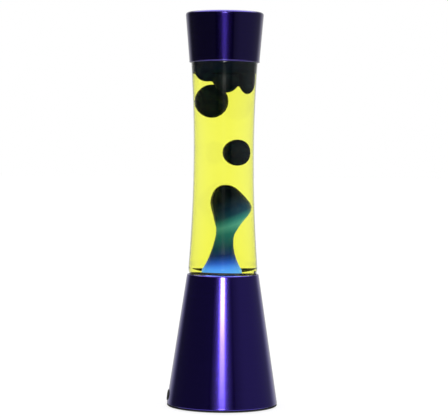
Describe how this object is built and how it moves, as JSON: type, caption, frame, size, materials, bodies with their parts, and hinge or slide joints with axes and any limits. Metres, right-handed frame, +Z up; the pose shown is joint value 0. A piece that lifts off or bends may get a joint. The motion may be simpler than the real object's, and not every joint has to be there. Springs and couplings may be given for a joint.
{
  "type": "lava lamp",
  "caption": "Liquid motion lamp: a violet metal cone with a reflector bulb under a yellow liquid bottle of dark wax, closed by a violet metal cap.",
  "frame": {"origin": "centre of the base on the surface that the lamp stands on, at the underside of its feet", "axes": "+Z up along the lamp's axis, -Y towards the front, +X to the viewer's right"},
  "size_m": [0.1127, 0.1126, 0.4],
  "materials": {
    "purple_metal": "glossy violet anodised",
    "black_plastic": "fine moulded grain",
    "rubber": "matte",
    "zinc_steel": "zinc plated",
    "brass": "satin",
    "ceramic": "unglazed white",
    "nylon": "natural nylon",
    "bottle_glass": "clear, smooth",
    "bulb_glass": "mirrored sides, frosted face",
    "stem_glass": "clear",
    "black_glass": "black vitrite",
    "tungsten": "drawn wire",
    "solder": "dull",
    "yellow_liquid": "clear yellow liquid",
    "dark_wax": "dark blue-green wax, smooth",
    "coil_wire": "dark drawn wire",
    "foam": "closed-cell foam",
    "live_insulation": "brown",
    "neutral_insulation": "blue",
    "earth_insulation": "green and yellow"
  },
  "bodies": {
    "base": {"base_shell": "purple_metal", "bottom_cover": "black_plastic", "cord_grommet": "rubber", "foot_1": "rubber", "foot_2": "rubber", "foot_3": "rubber", "shell_lug_1": "zinc_steel", "shell_lug_2": "zinc_steel", "shell_lug_3": "zinc_steel", "cover_screw_1": "zinc_steel", "cover_screw_2": "zinc_steel", "cover_screw_3": "zinc_steel", "lampholder_bracket": "zinc_steel", "bracket_screw_1": "zinc_steel", "bracket_screw_2": "zinc_steel", "threaded_nipple": "brass", "nipple_nut": "brass", "lampholder_base": "black_plastic", "lampholder_sleeve": "black_plastic", "lampholder_insert": "ceramic", "screw_shell": "brass", "centre_contact": "brass", "live_terminal": "brass", "neutral_terminal": "brass", "terminal_block": "nylon", "block_screw_1": "zinc_steel", "block_screw_2": "zinc_steel", "block_screw_3": "zinc_steel", "block_fixing_screw": "zinc_steel", "live_lead": "live_insulation", "neutral_lead": "neutral_insulation", "earth_lead": "earth_insulation", "earth_tag": "brass", "earth_screw": "zinc_steel", "earth_nut": "zinc_steel"},
    "bulb": {"bulb_envelope": "bulb_glass", "bulb_cap": "brass", "bulb_insulator": "black_glass", "bulb_contact": "solder", "bulb_stem": "stem_glass", "support_wire_1": "tungsten", "support_wire_2": "tungsten", "filament": "tungsten"},
    "bottle": {"glass_bottle": "bottle_glass", "crown_liner": "foam", "crown_cap": "zinc_steel", "wax_coil": "coil_wire", "liquid": "yellow_liquid", "wax_column": "dark_wax", "wax_top": "dark_wax"},
    "upper_ball": {"upper_wax_ball": "dark_wax"},
    "middle_ball": {"middle_wax_ball": "dark_wax"},
    "cap": {"top_cap": "purple_metal", "cap_pad": "foam"}
  },
  "joints": [
    {"name": "bottle_lift", "type": "slide", "parent": "base", "child": "bottle", "axis": [0, 0, 1], "range_m": [0, 0.15]},
    {"name": "cap_lift", "type": "slide", "parent": "bottle", "child": "cap", "axis": [0, 0, 1], "range_m": [0, 0.07]},
    {"name": "bulb_unscrew", "type": "slide", "parent": "base", "child": "bulb", "axis": [0, 0, 1], "range_m": [0, 0.017]},
    {"name": "upper_ball_drift", "type": "slide", "parent": "bottle", "child": "upper_ball", "axis": [0, 0, 1], "range_m": [-0.068, 0]},
    {"name": "middle_ball_drift", "type": "slide", "parent": "bottle", "child": "middle_ball", "axis": [0, 0, 1], "range_m": [-0.0195, 0.0435]}
  ]
}
